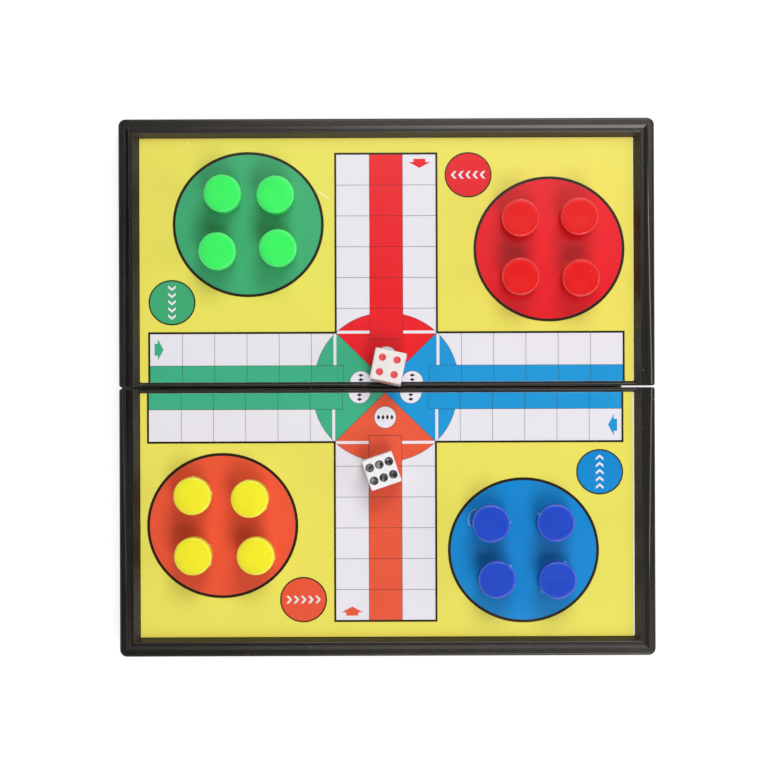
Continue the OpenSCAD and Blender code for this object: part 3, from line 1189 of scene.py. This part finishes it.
@dataclass
class PlaySheet:
    """Printed sheet of a half board: white card with films of ink on it.

    The print has slipped along the fold. The yellow leaves some card bare at the left, the right and the far
    side, and stops a little short of the fold.
    """

    half: Half
    inks: Inks
    slip: float
    bare: Triple
    scuffs: tuple[Scuff, ...] = ()
    fold_gap: float = 0.05
    film_step: float = 0.015
    levels: int = 6
    corner_r: float = 0.4
    corner_count: int = 64
    edge_r: float = 0.04
    edge_count: int = 5
    smooth_deg: float = 30.0

    def build(self) -> None:
        """Make the card and every ink."""
        node = f"{self.half.value}_sheet"
        low, high = (np.array(corner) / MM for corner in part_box(node))
        if self.half is Half.FRONT:
            low[:2], high[:2] = -high[:2], -low[:2]
        self.card(node, low, high)
        art = Artwork(edge=low[1] + self.fold_gap)
        left, right, top = self.bare
        near = (low[0] + left - self.slip, art.edge)
        far = (high[0] - right - self.slip, high[1] - top)
        layers = {
            "yellow": (self.inks.field, [block(near, far, art.FIELD)]),
            "white": (self.inks.white, art.whites() + art.marks()),
            "main": (self.inks.main, art.main_colour()),
            "main_discs": (self.inks.main_disc, art.discs(art.right_home, art.main_start)),
            "left": (self.inks.left, art.side_colour(-1.0)),
            "left_discs": (self.inks.left_disc, art.discs(art.left_home, art.left_start)),
            "right": (self.inks.right, art.side_colour(1.0)),
            "hairlines": (self.inks.hairline, art.hairlines()),
            "outlines": (self.inks.outline, art.outlines()),
        }
        if self.scuffs:
            bands = [band((scuff.start, scuff.end), scuff.width, art.WHITE) for scuff in self.scuffs]
            layers["scuffs"] = (self.inks.scuffed, bands)
        foot = high[2] - self.levels * self.film_step
        for part, (ink, films) in layers.items():
            self.lay(f"{self.half.value}_print_{part}", ink, films, foot)

    def lay(self, name: str, ink: PrintedInk, films: Iterable[Film], foot: float) -> None:
        """Make one ink of the print.

        Args:
            name: Name of the piece.
            ink: Its finish.
            films: Its films.
            foot: Height of the card's face, where every film starts.
        """
        patches = Patches.empty()
        for film in films:
            film.add_to(patches, foot, self.film_step, self.half.turn, self.slip)
        dress(patches.piece(name, finish(ink)), f"{self.half.value}_half", "printed_sheet")

    def card(self, node: str, low: np.ndarray, high: np.ndarray) -> None:
        """Make the card: a rounded rectangle carried through a profile with soft cut edges.

        A ring of the surface is the outline moved inwards by d at height z; the profile runs from the middle
        of the back, round the edge, to the middle of the face.

        Args:
            node: CAD node that the card stands for.
            low: Lowest corner of the sheet in the half's own frame.
            high: Highest corner of the sheet.
        """
        top = high[2] - self.levels * self.film_step
        turn = np.linspace(-math.pi / 2, math.pi / 2, self.edge_count)
        inset = np.concatenate(([math.inf], self.edge_r * (1 - np.cos(turn)), [math.inf]))
        height = np.concatenate(([low[2]], np.interp(np.sin(turn), (-1, 1), (low[2], top)), [top]))
        angle = np.linspace(0.0, 2 * math.pi, self.corner_count + 1)[:-1]
        middle, half = (low + high)[:2] / 2, (high - low)[:2] / 2
        arc = np.stack((np.cos(angle), np.sin(angle)), axis=1)
        core = np.where(np.abs(arc) < TINY, 0.0, np.sign(arc)) * (half - self.corner_r)
        outline = core + self.corner_r * arc
        shrink = np.where(np.isinf(inset), 0.0, 1.0)[:, None, None]
        ring = shrink * (outline - np.where(np.isinf(inset), 0.0, inset)[:, None, None] * arc)
        flat = (middle + ring) * self.half.turn
        grid = np.concatenate((flat, np.broadcast_to(height[:, None, None], (*flat.shape[:2], 1))), axis=-1)
        patches = Patches.empty()
        patches.add_grid(grid, ring=True)
        made = patches.piece(f"{self.half.value}_card", finish(SheetStock()), self.smooth_deg)
        dress(made, f"{self.half.value}_half", "printed_sheet", node)


@dataclass
class HalfShell:
    """Moulded half board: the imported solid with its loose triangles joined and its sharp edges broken.

    Edges of the facets that stand for a curve bend by ten degrees at most, so that only true edges are
    broken. The edges above the slopes down to the sheet are rounder than the rest, and known by how much they
    bend.
    """

    half: Half
    edge_break: float = 0.1
    slope_break: float = 0.2
    slope_deg: Point = (48.0, 62.0)
    fold_break: float = 0.12
    fold_y: float = 3.0
    fold_end: float = 63.0
    segments: int = 4
    sharp_deg: float = 12.5
    flat_deg: float = 0.2
    slope_z: Point = (0.3, 0.75)
    rear_slope: float = 1.75
    other_slope: float = 0.4

    def build(self) -> None:
        """Make the half board."""
        node = f"{self.half.value}_shell"
        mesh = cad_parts[node].data.copy()
        mesh.name = f"{self.half.value}_moulding"
        for name in ("custom_normal", "sharp_face", "sharp_edge"):
            mesh.attributes.remove(mesh.attributes[name])
        work = bmesh.new()
        work.from_mesh(mesh)
        bmesh.ops.remove_doubles(work, verts=work.verts, dist=WELD)
        flat = math.radians(self.flat_deg)
        bmesh.ops.dissolve_limit(work, angle_limit=flat, verts=work.verts, edges=work.edges)
        weights = work.edges.layers.float.new("bevel_weight_edge")
        for edge in work.edges:
            edge[weights] = self.weight(edge)
        # Wear and painted highlight on the slopes, for the finish to read.
        slopes = work.faces.layers.float.new(MouldedPlastic.SLOPE_WEAR_AND_SHEEN)
        for face in work.faces:
            face[slopes] = self.wear_and_sheen_share(face)
        work.to_mesh(mesh)
        work.free()
        mesh.shade_smooth()
        mesh.materials.clear()
        mesh.materials.append(finish(MouldedPlastic()))
        made = put(mesh.name, mesh)
        edges = made.modifiers.new("edge_break", "BEVEL")
        edges.width = self.slope_break * MM
        edges.segments = self.segments
        edges.limit_method = "WEIGHT"
        edges.use_clamp_overlap = False
        made.modifiers.new("flat_faces_lead", "WEIGHTED_NORMAL")
        dress(made, f"{self.half.value}_half", "shell_plastic", node)

    def weight(self, edge: bmesh.types.BMEdge) -> float:
        """Share of the widest break that an edge gets, by its bend and by how near the fold it is.

        Edges at the two ends of the fold get none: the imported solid's corners there are round already, and
        breaks would run into each other.

        Args:
            edge: The edge.

        Returns:
            The share.
        """
        bend = math.degrees(edge.calc_face_angle(0.0))
        near_fold = all(abs(vert.co.y) < self.fold_y * MM for vert in edge.verts)
        at_end = near_fold and all(abs(vert.co.x) > self.fold_end * MM for vert in edge.verts)
        if bend < self.sharp_deg or at_end:
            return 0.0
        if not self.slope_deg[0] < bend < self.slope_deg[1]:
            return self.edge_break / self.slope_break
        return self.fold_break / self.slope_break if near_fold else 1.0

    def wear_and_sheen_share(self, face: bmesh.types.BMFace) -> float:
        """How much wear and painted highlight a face gets: the slopes down to the sheets get some, and that
        of the rear rim, whose painted highlight stands for the front lamp's reflection, the most.

        Args:
            face: The face.

        Returns:
            Value of the attribute that the finish reads.
        """
        if not self.slope_z[0] < face.normal.z < self.slope_z[1]:
            return 0.0
        at_rear = face.normal.y < -abs(face.normal.x) and face.calc_center_median().y > 0.0
        return self.rear_slope if at_rear else self.other_slope


@dataclass(frozen=True)
class Flash:
    """A scrap of moulding flash round a pawn: where it is, how far it runs and stands out, and how high.

    Angle and span are degrees.
    """

    angle: float
    span: float
    reach: float
    height: float = 5.0


PAWN_PLASTICS = {
    Tint.GREEN: PawnPlastic("pawn_green", srgb(64, 244, 108)),
    Tint.RED: PawnPlastic("pawn_red", srgb(229, 13, 11)),
    Tint.YELLOW: PawnPlastic("pawn_yellow", srgb(246, 236, 48)),
    Tint.BLUE: PawnPlastic("pawn_blue", srgb(31, 78, 200)),
}
# Colours of the flash's lips: painted glints along its edges.
GLINT_COLOUR = {Tint.YELLOW: srgb(252, 248, 176), Tint.BLUE: srgb(176, 214, 240)}
PAWN_FLASH = {
    (Tint.BLUE, 1): (Flash(163, 58, 0.95, 0.1), Flash(4, 8, 0.28)),
    (Tint.BLUE, 2): (Flash(151, 8, 0.16),),
    (Tint.BLUE, 3): (Flash(44, 12, 0.28),),
    (Tint.BLUE, 4): (Flash(65, 10, 0.34), Flash(217, 9, 0.26)),
    (Tint.YELLOW, 1): (Flash(88, 9, 0.28), Flash(9, 8, 0.2)),
    (Tint.YELLOW, 2): (Flash(101, 10, 0.16), Flash(327, 12, 0.2)),
    (Tint.YELLOW, 3): (Flash(34, 10, 0.18), Flash(333, 12, 0.2)),
    (Tint.YELLOW, 4): (Flash(352, 9, 0.24), Flash(259, 10, 0.2)),
}


@dataclass
class Pawn:
    """Turned button of one player, with a magnet pocket in its foot and any flash round it.

    The top sinks a little at the gate of the mould, somewhere near its middle. The reach of the flash has a
    wave and a finer fringe, each with its height as a share and its rate.
    """

    tint: Tint
    number: int
    edge_r: float = 0.5
    edge_count: int = 9
    chamfer: float = 0.2
    top_count: int = 13
    dish: float = 0.015
    sink: float = 0.02
    sink_r: float = 1.3
    sink_off: float = 0.7
    pocket_r: float = 3.05
    pocket_h: float = 2.05
    stations: int = 96
    smooth_deg: float = 40.0
    flash_t: float = 0.07
    flash_root: float = 0.05
    flash_count: int = 25
    flash_gain: float = 1.6
    wave: Point = (0.06, 9.0)
    fringe: Point = (0.04, 23.0)
    bead: float = 0.16

    @property
    def name(self) -> str:
        """Name of the pawn's body and node."""
        return f"{self.tint.value}_pawn_{self.number}"

    def profile(self, radius: float, height: float) -> np.ndarray:
        """Half section from the roof of the pocket, under the foot and up the side, to the middle of the top.

        The top edge is a quarter circle with a flat land inside it. Within the land, whose inner radius is
        rim, the top sinks as dish * (1 - (r / rim) ** 2).

        Args:
            radius: Outer radius.
            height: Height of the rim.

        Returns:
            Pairs of radius and height.
        """
        turn = np.linspace(0.0, math.pi / 2, self.edge_count)
        rim = radius - 2 * self.edge_r
        round_in, round_down = self.edge_r * (np.cos(turn) - 1), self.edge_r * (np.sin(turn) - 1)
        corner = np.stack((radius + round_in, height + round_down), 1)
        inward = np.linspace(rim, 0.0, self.top_count)
        top = np.stack((inward, height - self.dish * (1 - (inward / rim) ** 2)), 1)
        foot = np.array((
            (0.0, self.pocket_h), (self.pocket_r, self.pocket_h), (self.pocket_r, 0.0),
            (radius - self.chamfer, 0.0), (radius, self.chamfer), (radius, height / 2),
        ))
        return np.concatenate((foot, corner, top))

    def build(self) -> None:
        """Make the pawn and its flash."""
        low, high = (np.array(corner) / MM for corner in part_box(self.name))
        middle = (low + high)[:2] / 2
        radius = float(high[0] - low[0]) / 2
        section = self.profile(radius, float(high[2] - low[2]))
        angle = np.linspace(0.0, 2 * math.pi, self.stations + 1)[:-1]
        x = section[:, :1] * np.cos(angle)
        y = section[:, :1] * np.sin(angle)
        z = np.broadcast_to(section[:, 1:], x.shape).copy()
        random = np.random.default_rng(10 * self.number + len(self.tint.value))
        draw = random.uniform(-self.sink_off, self.sink_off, 2)
        gate = np.exp(-((x - draw[0]) ** 2 + (y - draw[1]) ** 2) / self.sink_r ** 2)
        top = slice(-self.top_count, None)
        z[top] -= self.sink * gate[top] * (1 - section[top, :1] / section[-self.top_count, 0])
        patches = Patches.empty()
        patches.add_grid(np.stack((x + middle[0], y + middle[1], z + low[2]), axis=-1), ring=True)
        made = patches.piece(self.name + "_button", finish(PAWN_PLASTICS[self.tint]), self.smooth_deg)
        # Weight of the painted highlight on the round edge, most at its middle.
        edge = np.zeros_like(x)
        rounding = slice(-self.top_count - self.edge_count, -self.top_count)
        edge[rounding] = np.sin(np.linspace(0.0, math.pi, self.edge_count))[:, None]
        patches.mark(made, PawnPlastic.EDGE_HIGHLIGHT, edge.ravel())
        dress(made, self.name, f"{self.tint.value}_plastic", self.name)
        scraps = PAWN_FLASH.get((self.tint, self.number), ())
        if scraps:
            self.build_flash(scraps, middle, radius, low[2])

    def build_flash(self, scraps: Iterable[Flash], middle: np.ndarray, radius: float, foot: float) -> None:
        """Make the flash: ragged fins, each with a lip of painted glint.

        The reach of a fin swells as the root of the sine of the way along it, times its ripple.

        Args:
            scraps: Where the fins are.
            middle: Middle of the pawn.
            radius: Its radius.
            foot: Height of the foot.
        """
        skirt, glint = Patches.empty(), Patches.empty()
        for scrap in scraps:
            way = np.linspace(0.0, 1.0, self.flash_count)
            angle = np.radians(scrap.angle + scrap.span * (way - 0.5))
            ripple = 1.0 + self.wave[0] * np.sin(self.wave[1] * way + scrap.angle)
            ripple += self.fringe[0] * np.sin(self.fringe[1] * way)
            reach = scrap.reach * np.sqrt(np.sin(math.pi * way).clip(0.0)) * ripple
            heading = np.stack((np.cos(angle), np.sin(angle)), axis=1)
            inner = middle + heading * (radius - self.flash_root)
            outer = middle + heading * (radius + reach[:, None])
            low = foot + scrap.height
            Film(inner, outer, level=1.0).add_to(skirt, low, self.flash_t, turn=1.0, slip=0.0)
            # The lip is a thin film along the fin's edge, coloured as a painted glint.
            bead = Film(outer - heading * self.bead, outer, level=1.0)
            bead.add_to(glint, low + self.flash_t, self.flash_t, turn=1.0, slip=0.0)
        colour = shade(PAWN_PLASTICS[self.tint].colour, self.flash_gain)
        thin = FlashSkin(f"flash_{self.tint.value}", colour, veil=0.05, spread=0.3)
        painted_highlight = FlashSkin(f"flash_lip_{self.tint.value}", GLINT_COLOUR[self.tint], veil=0.3, spread=0.6)
        for part, patches, skin in (("flash", skirt, thin), ("flash_lip", glint, painted_highlight)):
            made = patches.piece(f"{self.name}_{part}", finish(skin))
            dress(made, self.name, f"{self.tint.value}_plastic")


@dataclass
class Die:
    """Rounded cube with dimpled pips: opposite faces make seven, and the one and the four are red."""

    name: str
    top: int
    front: int
    right: int
    turn_deg: float
    lean_deg: float
    pip_r: float
    resin: DieResin
    side: float = 7.7
    edge_r: float = 0.4
    ace_r: float = 2.2
    pip_depth: float = 0.34
    pip_step: float = 1.8
    row_step: float = 2.44
    row_gap: float = 1.65
    lines: int = 97
    smooth_deg: float = 50.0

    PIP = "pip"
    RED = "red_pip"
    RED_FACES = (1, 4)
    OPPOSITE = 7

    def pips(self, number: int) -> np.ndarray:
        """Places of the pips on a face.

        Args:
            number: Number of pips.

        Returns:
            Their middles, one in each row.
        """
        step, middle = self.pip_step, (0.0, 0.0)
        corner = [(-step, -step), (-step, step), (step, -step), (step, step)]
        places = {
            1: [middle], 2: corner[1:3], 3: [*corner[1:3], middle], 4: corner, 5: [*corner, middle],
            6: [(x, y) for x in (-self.row_step, 0.0, self.row_step) for y in (-self.row_gap, self.row_gap)],
        }
        return np.array(places[number])

    def face(self, number: int) -> tuple[np.ndarray, np.ndarray]:
        """Top face of the cube with its pips.

        A point c of the flat face goes to k + r * (c - k) / |c - k|, where k is c held inside the cube less
        the edge radius r, and sinks by depth * (1 - (d / R) ** 2) at a distance d from the middle of a pip of
        radius R.

        Args:
            number: Number of pips.

        Returns:
            Points of shape lines, lines, 3, and how far inside a pip each one is, as a share of its radius.
        """
        half = self.side / 2
        way = np.linspace(-half, half, self.lines)
        x, y = np.meshgrid(way, way, indexing="xy")
        flat = np.stack((x, y, np.full_like(x, half)), axis=-1)
        core = np.clip(flat, self.edge_r - half, half - self.edge_r)
        out = flat - core
        points = core + self.edge_r * out / np.linalg.norm(out, axis=-1, keepdims=True)
        radius = self.ace_r if number == 1 else self.pip_r
        away = points[..., None, :2] - self.pips(number)
        inside = 1.0 - np.linalg.norm(away, axis=-1).min(axis=-1) / radius
        hollow = np.clip(inside, 0.0, None)
        points[..., 2] -= self.pip_depth * hollow * (2.0 - hollow)
        return points, inside

    def build(self) -> None:
        """Make the die where its node is."""
        low, high = (np.array(corner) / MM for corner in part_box(self.name))
        turns = {
            self.top: np.eye(3),
            self.OPPOSITE - self.top: about("x", 180.0),
            self.front: about("x", 90.0),
            self.OPPOSITE - self.front: about("x", -90.0),
            self.right: about("y", 90.0),
            self.OPPOSITE - self.right: about("y", -90.0),
        }
        pose = about("x", -self.lean_deg) @ about("z", self.turn_deg)
        patches = Patches.empty()
        inside, red = [], []
        for number, turn in turns.items():
            points, share = self.face(number)
            patches.add_grid(points @ (pose @ turn).T + (low + high) / 2)
            inside.append(share.ravel())
            red.append(np.full(share.size, float(number in self.RED_FACES)))
        made = patches.piece(self.name + "_cube", finish(self.resin), self.smooth_deg)
        patches.mark(made, self.PIP, np.concatenate(inside))
        patches.mark(made, self.RED, np.concatenate(red))
        dress(made, self.name, "die_plastic", self.name)


def about(axis: str, degrees: float) -> np.ndarray:
    """Turn about an axis as a matrix.

    Args:
        axis: Name of the axis.
        degrees: Angle of the turn.

    Returns:
        The matrix, for columns.
    """
    cos, sin = math.cos(math.radians(degrees)), math.sin(math.radians(degrees))
    rows = {
        "x": ((1, 0, 0), (0, cos, -sin), (0, sin, cos)),
        "y": ((cos, 0, sin), (0, 1, 0), (-sin, 0, cos)),
        "z": ((cos, -sin, 0), (sin, cos, 0), (0, 0, 1)),
    }
    return np.array(rows[axis])


@dataclass
class Metalwork:
    """Pins, plates and magnets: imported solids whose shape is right, with better finishes."""

    pin: RolledSteel = RolledSteel("pin_steel_drawn", srgb(196, 196, 199), roughness=0.28, streak=0.08)
    plate: RolledSteel = RolledSteel("plate_steel_rolled", srgb(172, 174, 178), roughness=0.36)
    magnet: RolledSteel = RolledSteel("magnet_plating", srgb(186, 184, 180), roughness=0.24, streak=1.2)

    def build(self) -> None:
        """Give every metal node its finish."""
        for name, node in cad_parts.items():
            for word, steel in (("pin", self.pin), ("plate", self.plate), ("magnet", self.magnet)):
                if word in name.split("_"):
                    node.data.materials.clear()
                    node.data.materials.append(finish(steel))
                    LOG.info("%s: finish %s", name, steel.name)


@dataclass
class Lamp:
    """Soft box: its place, how far it is tipped about X and Y, its size and its power."""

    name: str
    place: Triple
    tip_deg: Point
    size: Point
    power: float

    def build(self) -> None:
        """Make the lamp."""
        light = bpy.data.lights.new(self.name, "AREA")
        light.shape = "RECTANGLE"
        light.size, light.size_y = self.size
        light.energy = self.power
        made = put(self.name, light)
        made.location = self.place
        made.rotation_euler = (*np.radians(self.tip_deg).tolist(), 0.0)


@dataclass
class Studio:
    """White table, soft boxes, an even surround and the camera straight above.

    The places of the fold and of the folded half on the table are millimetres, and other sizes metres. Places
    and sizes in the surround are parts of a unit heading.
    """

    floor_half: float = 3.0
    floor_count: int = 9
    floor_z: float = -0.00005
    surround: float = 0.18
    low_sky: Point = (0.05, 0.6)
    gloss_slope: Point = (-1.4, -0.66)
    patch_at: Point = (0.07, 0.1)
    patch_level: float = 0.5
    patch_size: float = 0.1
    table: float = 0.28
    table_rough: float = 0.9
    table_glow: float = 0.84
    fold_shade: Point = (-65.2, 57.6)
    fold_half: float = 1.6
    folded_y: float = -32.5
    folded_half: Point = (100.0, 67.5)
    folded_rays: int = 32
    folded_reach: float = 0.05
    camera_height: float = 0.811
    camera_x: float = 0.00012
    camera_y: float = -0.00007
    roll_deg: float = -0.2
    lens: float = 153.22
    lamps: tuple[Lamp, ...] = (
        Lamp("rear_box", (0.2, 0.74, 0.95), (-37.9, 0.0), (0.6, 0.5), 7.1),
        Lamp("ceiling_box", (0.1, 0.223, 1.3), (-9.7, 0.0), (0.4, 0.13), 0.78),
        Lamp("front_box", (0.234, -0.552, 1.0), (28.9, 0.0), (0.436, 0.715), 6.75),
        Lamp("side_box", (0.9, -0.1, 0.45), (0.0, 63.4), (0.4, 0.8), 2.2),
        Lamp("left_box", (-0.9, 0.0, 0.6), (0.0, -56.3), (0.4, 0.8), 0.7),
    )

    def build(self) -> None:
        """Make everything round the board."""
        self.floor()
        self.world()
        for lamp in self.lamps:
            lamp.build()
        self.camera()
        bpy.context.scene.view_settings.view_transform = "Standard"

    def floor(self) -> None:
        """Make the table: white, with painted shade under the fold, and clear where a folded half board hangs
        below it.

        Rays are sent down for that near the folded half only, and one that finds something is enough.
        """
        graph = Graph("table_white")
        camera = graph.ray("Camera")
        back = graph.node("ShaderNodeNewGeometry", output="Backfacing")
        below = graph.node("ShaderNodeAmbientOcclusion", {"inside": True, "samples": self.folded_rays},
                           {"Distance": self.folded_reach}, "AO")
        hidden = (1.0 - below).ease(0.0, 1.0 / self.folded_rays)
        along, across = (graph.axis(axis, graph.place) for axis in "XY")
        # Painted shade: under the fold the table's glow is left out.
        inside = (along > self.fold_shade[0]) * (along < self.fold_shade[1])
        fold = inside * (abs(across) < self.fold_half)
        near = (abs(along) < self.folded_half[0]) * (abs(across - self.folded_y) < self.folded_half[1])
        seen = camera + graph.ray("Glossy") + graph.ray("Transmission")
        glow = graph.mix(seen * (1.0 - fold), BLACK, WHITE)
        plain = graph.node("ShaderNodeBsdfPrincipled", None, {
            "Base Color": (self.table, self.table, self.table, 1.0), "Roughness": self.table_rough,
            "Specular IOR Level": 0.0, "Emission Color": glow, "Emission Strength": self.table_glow})
        clear = graph.node("ShaderNodeBsdfTransparent")
        solid = graph.blend(back.most(graph.ray("Shadow")), plain, clear)
        opened = graph.blend(hidden, solid, clear)
        material = graph.output(graph.blend(camera * near, solid, opened))
        reach = np.linspace(-self.floor_half, self.floor_half, self.floor_count) / MM
        x, y = np.meshgrid(reach, reach, indexing="xy")
        patches = Patches.empty()
        patches.add_grid(np.stack((x, y, np.full_like(x, self.floor_z / MM)), axis=-1))
        patches.piece("table", material)

    def world(self) -> None:
        """Make the surround: white to the camera, white low down to gloss, soft as a light.

        Overhead, what gloss shows falls off along X and Y, as under a ceiling lit from the left and the
        front, and a soft patch of ceiling near the zenith adds its level times exp(-(d / size) ** 2).
        """
        graph = Graph("surround", bpy.data.worlds)
        gloss = graph.ray("Glossy")
        heading = graph.node("ShaderNodeTexCoord", output="Generated")
        along, across, rise = (graph.axis(axis, heading) for axis in "XYZ")
        fall = along * self.gloss_slope[0] + across * self.gloss_slope[1]
        off = [(axis - at) * (1.0 / self.patch_size) for axis, at in zip((along, across), self.patch_at)]
        patch = self.patch_level * (0.0 - (off[0] * off[0] + off[1] * off[1])).exp()
        overhead = fall.math("MINIMUM", fall.most(0.0) + patch, 1.0)
        shown = 1.0 - rise.ease(*self.low_sky) * (1.0 - overhead)
        plain = graph.ray("Camera").most(graph.ray("Transmission"))
        level = self.surround * (1.0 - plain - gloss) + plain + gloss * shown
        shader = graph.node("ShaderNodeBackground", None, {"Strength": level})
        bpy.context.scene.world = graph.output(shader)

    def camera(self) -> None:
        """Make the camera straight above the board, turned by the photograph's small roll."""
        lens = bpy.data.cameras.new("overhead")
        lens.lens = self.lens
        made = put("overhead", lens)
        made.location = (self.camera_x, self.camera_y, self.camera_height)
        made.rotation_euler = (0.0, 0.0, math.radians(self.roll_deg))
        bpy.context.scene.camera = made


def main() -> None:
    """Build the board, its pawns and dice, and the studio round them."""
    logging.basicConfig(level=logging.INFO, format="%(name)s %(message)s")
    for half in Half:
        HalfShell(half).build()
    PlaySheet(Half.REAR, REAR_INKS, slip=-0.1, bare=(0.0, 0.1, 0.03), scuffs=REAR_SCUFFS).build()
    PlaySheet(Half.FRONT, FRONT_INKS, slip=0.46, bare=(0.32, 0.0, 0.0)).build()
    Metalwork().build()
    for tint in Tint:
        for number in range(1, 5):
            Pawn(tint, number).build()
    Die("front_die", top=6, front=4, right=5, turn_deg=18.9, lean_deg=0.0, pip_r=1.14,
        resin=DieResin("front_resin", srgb(237, 236, 239))).build()
    Die("rear_die", top=4, front=1, right=5, turn_deg=-11.7, lean_deg=4.085, pip_r=0.97,
        resin=DieResin("rear_resin", srgb(234, 227, 225))).build()
    Studio().build()
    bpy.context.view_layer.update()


if __name__ == "__main__":
    main()
